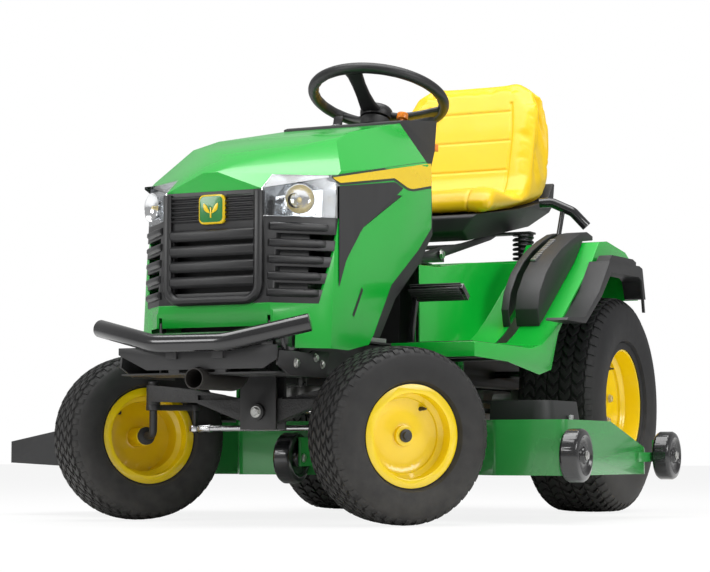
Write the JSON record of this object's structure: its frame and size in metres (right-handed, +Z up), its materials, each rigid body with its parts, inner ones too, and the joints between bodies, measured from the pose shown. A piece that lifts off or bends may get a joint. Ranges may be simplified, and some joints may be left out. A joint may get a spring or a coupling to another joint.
{
  "type": "riding lawn mower",
  "caption": "Riding lawn mower with a tipping hood, steered front wheels, high-back tilting seat, lift lever and a side-discharge deck with blades and gauge wheels.",
  "frame": {"origin": "on the floor under the middle of the machine, with its chute down and its wheels turned as stored", "axes": "+X forward, +Y to the driver's left, +Z up"},
  "size_m": [1.9164, 1.69, 1.27],
  "materials": {
    "green_paint": "gloss",
    "green_plastic": "gloss",
    "yellow_paint": "gloss",
    "yellow_vinyl": "satin",
    "black_paint": "satin",
    "black_plastic": "matte",
    "gloss_black": "gloss",
    "tyre_rubber": "matte",
    "soft_rubber": "matte",
    "zinc_steel": "satin",
    "cast_aluminium": "cast",
    "cast_iron": "rough",
    "clear_lens": "clear",
    "orange_plastic": "gloss",
    "spring_steel": "satin",
    "chrome_trim": "polished",
    "white_plastic": "satin"
  },
  "bodies": {
    "chassis": {"frame_rails": "black_paint", "frame_cross_members": "black_paint", "axle_pivot_bracket": "black_paint", "front_frame_bracket": "black_paint", "bumper_tube": "gloss_black", "front_scoop": "gloss_black", "engine_block": "cast_aluminium", "engine_shroud": "black_plastic", "muffler": "black_paint", "fuel_tank": "white_plastic", "battery": "black_plastic", "transaxle": "cast_aluminium", "fender_body": "green_plastic", "lift_console": "black_plastic", "fender_trims": "black_plastic", "dash_tower": "black_plastic", "seat_support": "spring_steel"},
    "hood": {"hood_shell": "green_plastic", "grille": "black_plastic", "headlights": "clear_lens"},
    "steering": {"steering_wheel": "black_plastic", "steering_shaft": "zinc_steel"},
    "steering_pinion": {"steering_pinion": "zinc_steel"},
    "steering_sector": {"steering_sector": "zinc_steel"},
    "drag_link": {"drag_link": "zinc_steel"},
    "front_axle": {"front_axle_beam": "cast_iron"},
    "left_spindle": {"left_spindle": "black_paint"},
    "right_spindle": {"right_spindle": "black_paint"},
    "tie_rod": {"tie_rod": "zinc_steel"},
    "left_front_wheel": {"left_front_rim": "yellow_paint", "left_front_tyre": "tyre_rubber"},
    "right_front_wheel": {"right_front_rim": "yellow_paint", "right_front_tyre": "tyre_rubber"},
    "left_rear_wheel": {"left_rear_rim": "yellow_paint", "left_rear_tyre": "tyre_rubber"},
    "right_rear_wheel": {"right_rear_rim": "yellow_paint", "right_rear_tyre": "tyre_rubber"},
    "crank": {"crank_pulley": "zinc_steel"},
    "deck": {"deck_shell": "green_paint", "spindle_housings": "cast_aluminium", "deck_covers": "black_plastic", "blade_belt": "soft_rubber"},
    "left_blade": {"left_blade": "zinc_steel"},
    "middle_blade": {"middle_blade": "zinc_steel"},
    "right_blade": {"right_blade": "zinc_steel"},
    "chute": {"discharge_chute": "black_plastic"},
    "left_front_gauge_wheel": {"left_front_gauge_wheel": "gloss_black"},
    "left_rear_gauge_wheel": {"left_rear_gauge_wheel": "gloss_black"},
    "right_rear_gauge_wheel": {"right_rear_gauge_wheel": "gloss_black"},
    "middle_front_gauge_wheel": {"middle_front_gauge_wheel": "gloss_black"},
    "seat_tilt": {"seat_frame": "black_paint"},
    "seat_slide": {"seat_pan": "black_plastic", "seat_cushion": "yellow_vinyl"},
    "lift_lever": {"lift_lever": "gloss_black"},
    "brake_pedal": {"brake_pedal": "soft_rubber"},
    "forward_pedal": {"forward_pedal": "soft_rubber"},
    "reverse_pedal": {"reverse_pedal": "soft_rubber"},
    "throttle": {"throttle_lever": "orange_plastic"},
    "clutch_knob": {"blade_clutch_knob": "orange_plastic"},
    "ignition_key": {"ignition_key": "black_plastic"}
  },
  "joints": [
    {"name": "hood_hinge", "type": "hinge", "parent": "chassis", "child": "hood", "pos_m": [0.81475, 0.092, 0.458], "axis": [0, 1, 0], "range_deg": [0, 70]},
    {"name": "steering_turn", "type": "hinge", "parent": "chassis", "child": "steering", "pos_m": [-0.06425, 0.092, 1.117], "axis": [-0.2999, 0, 0.954], "range_deg": [-529.38, 20.62]},
    {"name": "pinion_turn", "type": "hinge", "parent": "chassis", "child": "steering_pinion", "pos_m": [0.13787, 0.092, 0.402], "axis": [0, 0, 1], "range_deg": [-529.38, 20.64]},
    {"name": "sector_turn", "type": "hinge", "parent": "chassis", "child": "steering_sector", "pos_m": [0.13787, 0.218, 0.402], "axis": [0, 0, 1], "range_deg": [-3.01, 77.01]},
    {"name": "drag_link_swing", "type": "hinge", "parent": "steering_sector", "child": "drag_link", "pos_m": [0.07769, 0.13814, 0.378], "axis": [0, 0, 1], "range_deg": [-77.01, 3.01]},
    {"name": "axle_pivot", "type": "hinge", "parent": "chassis", "child": "front_axle", "pos_m": [0.58475, 0.092, 0.262], "axis": [1, 0, 0], "range_deg": [-2, 2]},
    {"name": "left_spindle_turn", "type": "hinge", "parent": "front_axle", "child": "left_spindle", "pos_m": [0.58475, 0.397, 0.3], "axis": [0, 0, 1], "range_deg": [-3.01, 77.01]},
    {"name": "right_spindle_turn", "type": "hinge", "parent": "front_axle", "child": "right_spindle", "pos_m": [0.58475, -0.213, 0.3], "axis": [0, 0, 1], "range_deg": [-3.01, 77.01]},
    {"name": "tie_rod_swing", "type": "hinge", "parent": "right_spindle", "child": "tie_rod", "pos_m": [0.4969, -0.1468, 0.225], "axis": [0, 0, 1], "range_deg": [-77.01, 3.01]},
    {"name": "left_front_wheel_spin", "type": "hinge", "parent": "left_spindle", "child": "left_front_wheel", "pos_m": [0.64012, 0.47047, 0.205], "axis": [0.6012, 0.7979, -0.0436], "continuous": true},
    {"name": "left_rear_wheel_spin", "type": "hinge", "parent": "chassis", "child": "left_rear_wheel", "pos_m": [-0.65525, 0.474, 0.303], "axis": [0, 1, 0], "continuous": true},
    {"name": "right_front_wheel_spin", "type": "hinge", "parent": "right_spindle", "child": "right_front_wheel", "pos_m": [0.52938, -0.28647, 0.205], "axis": [-0.6012, -0.7979, -0.0436], "continuous": true},
    {"name": "right_rear_wheel_spin", "type": "hinge", "parent": "chassis", "child": "right_rear_wheel", "pos_m": [-0.65525, -0.29, 0.303], "axis": [0, 1, 0], "continuous": true},
    {"name": "crank_spin", "type": "hinge", "parent": "chassis", "child": "crank", "pos_m": [0.38475, 0.092, 0.3], "axis": [0, 0, 1], "continuous": true},
    {"name": "lift_lever_swing", "type": "hinge", "parent": "chassis", "child": "lift_lever", "pos_m": [-0.50025, 0.422, 0.385], "axis": [0, 1, 0], "range_deg": [0, 56]},
    {"name": "deck_height", "type": "slide", "parent": "chassis", "child": "deck", "axis": [0, 0, 1], "range_m": [-0.085, 0.0005], "deforming": ["blade_belt"]},
    {"name": "left_blade_spin", "type": "hinge", "parent": "deck", "child": "left_blade", "pos_m": [-0.01525, 0.539, 0.126], "axis": [0, 0, 1], "continuous": true},
    {"name": "middle_blade_spin", "type": "hinge", "parent": "deck", "child": "middle_blade", "pos_m": [0.13975, 0.092, 0.126], "axis": [0, 0, 1], "continuous": true},
    {"name": "right_blade_spin", "type": "hinge", "parent": "deck", "child": "right_blade", "pos_m": [-0.01525, -0.355, 0.126], "axis": [0, 0, 1], "continuous": true},
    {"name": "chute_hinge", "type": "hinge", "parent": "deck", "child": "chute", "pos_m": [0.04475, -0.606, 0.237], "axis": [-1, 0, 0], "range_deg": [0, 70]},
    {"name": "left_front_gauge_spin", "type": "hinge", "parent": "deck", "child": "left_front_gauge_wheel", "pos_m": [0.40475, 0.815, 0.159], "axis": [0, 1, 0], "continuous": true},
    {"name": "left_rear_gauge_spin", "type": "hinge", "parent": "deck", "child": "left_rear_gauge_wheel", "pos_m": [-0.28525, 0.815, 0.159], "axis": [0, 1, 0], "continuous": true},
    {"name": "right_rear_gauge_spin", "type": "hinge", "parent": "deck", "child": "right_rear_gauge_wheel", "pos_m": [-0.28525, -0.631, 0.159], "axis": [0, 1, 0], "continuous": true},
    {"name": "middle_front_gauge_spin", "type": "hinge", "parent": "deck", "child": "middle_front_gauge_wheel", "pos_m": [0.45675, 0.102, 0.153], "axis": [0, 1, 0], "continuous": true},
    {"name": "seat_tilt_hinge", "type": "hinge", "parent": "chassis", "child": "seat_tilt", "pos_m": [-0.21525, 0.092, 0.703], "axis": [0, 1, 0], "range_deg": [0, 45]},
    {"name": "seat_adjust", "type": "slide", "parent": "seat_tilt", "child": "seat_slide", "axis": [1, 0, 0], "range_m": [0, 0.06]},
    {"name": "brake_pedal_press", "type": "hinge", "parent": "chassis", "child": "brake_pedal", "pos_m": [0.27475, 0.336, 0.385], "axis": [0, 1, 0], "range_deg": [0, 14], "stiffness_Nm_per_rad": 8, "springref_deg": -34.38},
    {"name": "forward_pedal_press", "type": "hinge", "parent": "chassis", "child": "forward_pedal", "pos_m": [0.27475, -0.152, 0.385], "axis": [0, 1, 0], "range_deg": [0, 14], "stiffness_Nm_per_rad": 8, "springref_deg": -34.38},
    {"name": "reverse_pedal_press", "type": "hinge", "parent": "chassis", "child": "reverse_pedal", "pos_m": [0.20475, -0.178, 0.385], "axis": [0, 1, 0], "range_deg": [0, 14], "stiffness_Nm_per_rad": 8, "springref_deg": -34.38},
    {"name": "throttle_swing", "type": "hinge", "parent": "chassis", "child": "throttle", "pos_m": [0.00475, 0.238, 0.976], "axis": [0, 1, 0], "range_deg": [-6, 6]},
    {"name": "clutch_pull", "type": "slide", "parent": "chassis", "child": "clutch_knob", "axis": [-0.2999, 0, 0.954], "range_m": [0, 0.018]},
    {"name": "key_turn", "type": "hinge", "parent": "chassis", "child": "ignition_key", "pos_m": [-0.00525, -0.003, 1.0355], "axis": [-0.2999, 0, 0.954], "range_deg": [-90, 0]}
  ],
  "couplings": [
    {"joint": "pinion_turn", "follows": "steering_turn", "ratio": 1},
    {"joint": "sector_turn", "follows": "steering_turn", "ratio": -0.14545},
    {"joint": "drag_link_swing", "follows": "steering_turn", "ratio": 0.14545},
    {"joint": "left_spindle_turn", "follows": "steering_turn", "ratio": -0.14545},
    {"joint": "right_spindle_turn", "follows": "steering_turn", "ratio": -0.14545},
    {"joint": "tie_rod_swing", "follows": "steering_turn", "ratio": 0.14545},
    {"joint": "deck_height", "follows": "lift_lever_swing", "m_per_rad": -0.086967},
    {"joint": "left_blade_spin", "follows": "crank_spin", "ratio": 0.80645},
    {"joint": "middle_blade_spin", "follows": "crank_spin", "ratio": 0.80645},
    {"joint": "right_blade_spin", "follows": "crank_spin", "ratio": 0.80645}
  ]
}
